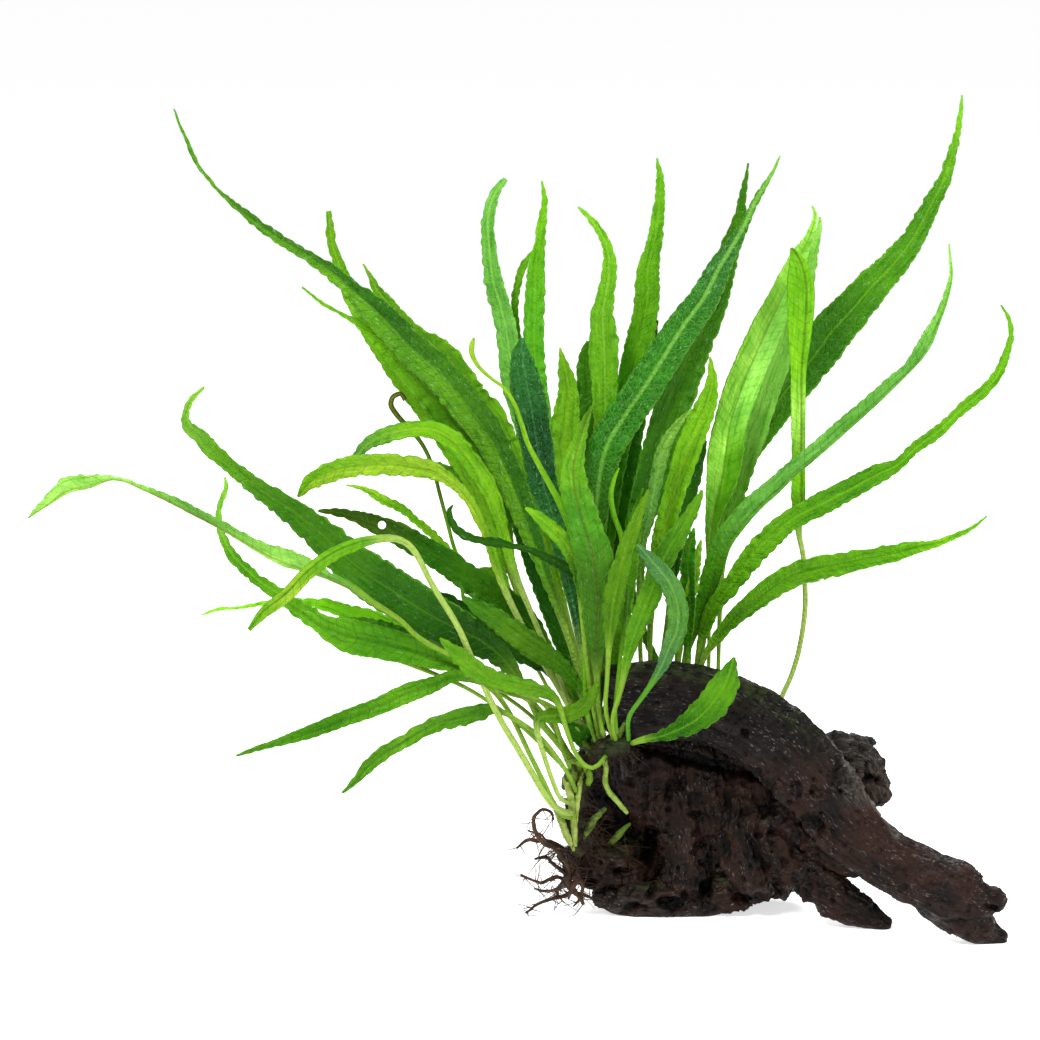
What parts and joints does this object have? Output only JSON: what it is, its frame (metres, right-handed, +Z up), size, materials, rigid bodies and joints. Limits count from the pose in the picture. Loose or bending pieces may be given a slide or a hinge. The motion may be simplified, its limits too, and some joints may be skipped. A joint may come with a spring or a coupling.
{
  "type": "java fern on driftwood",
  "caption": "Aquarium fern with long ruffled fronds fanning out from a rhizome on a dark piece of driftwood that rests on its trunk, feet and limb ends.",
  "frame": {"origin": "point of the trunk's flat underside, on the surface that the wood rests on, below the middle of the trunk", "axes": "+Z up; +X along the wood towards the tip of its long limb; +Y away from the side that the picture shows"},
  "size_m": [0.3383, 0.1652, 0.2861],
  "materials": {
    "leaf": "wet semi-gloss green leaf, netted veins, ruffled margin",
    "rhizome": "green-brown, scaly and hairy",
    "root": "matt dark brown fibres",
    "wood": "wet dark brown-black wood, grained and pitted"
  },
  "bodies": {
    "root": {"driftwood_back_knob": "wood", "driftwood_left_foot": "wood", "driftwood_long_limb": "wood", "driftwood_short_limb": "wood", "driftwood_trunk": "wood", "frond_arching_lime": "leaf", "frond_behind_tallest": "leaf", "frond_blue_drooping": "leaf", "frond_centre_blistered": "leaf", "frond_centre_dark": "leaf", "frond_centre_forward_curve": "leaf", "frond_centre_left_upright": "leaf", "frond_centre_lime_tip": "leaf", "frond_centre_upright": "leaf", "frond_curled_tail": "leaf", "frond_fiddlehead": "leaf", "frond_folded_over": "leaf", "frond_front_lime_centre": "leaf", "frond_front_lime_leaning": "leaf", "frond_front_lime_left": "leaf", "frond_front_lime_right": "leaf", "frond_grey_blunt": "leaf", "frond_left_broad_dark": "leaf", "frond_left_hole_bitten": "leaf", "frond_left_light_short": "leaf", "frond_left_lime_blunt": "leaf", "frond_left_lime_looped": "leaf", "frond_left_pale_long": "leaf", "frond_left_serrated": "leaf", "frond_left_shaded": "leaf", "frond_left_slender_hooked": "leaf", "frond_left_thin_lime": "leaf", "frond_left_under_dark": "leaf", "frond_left_wavy_light": "leaf", "frond_lime_hooked": "leaf", "frond_low_left_lower": "leaf", "frond_low_left_upper": "leaf", "frond_low_left_wide": "leaf", "frond_narrow_whip": "leaf", "frond_on_the_wood": "leaf", "frond_pale_behind": "leaf", "frond_pale_underside": "leaf", "frond_right_broad_dark": "leaf", "frond_right_dark_short": "leaf", "frond_right_lime_short": "leaf", "frond_right_lime_slim": "leaf", "frond_right_long": "leaf", "frond_right_low": "leaf", "frond_right_of_centre_bright": "leaf", "frond_right_of_centre_dark": "leaf", "frond_right_slender": "leaf", "frond_right_spotted_dark": "leaf", "frond_tallest_left": "leaf", "frond_upright_folded": "leaf", "frond_wavy_twig": "leaf", "green_shoot": "leaf", "rhizome_back": "rhizome", "rhizome_front": "rhizome", "rhizome_lower": "rhizome", "root_tuft": "root"}
  },
  "joints": []
}
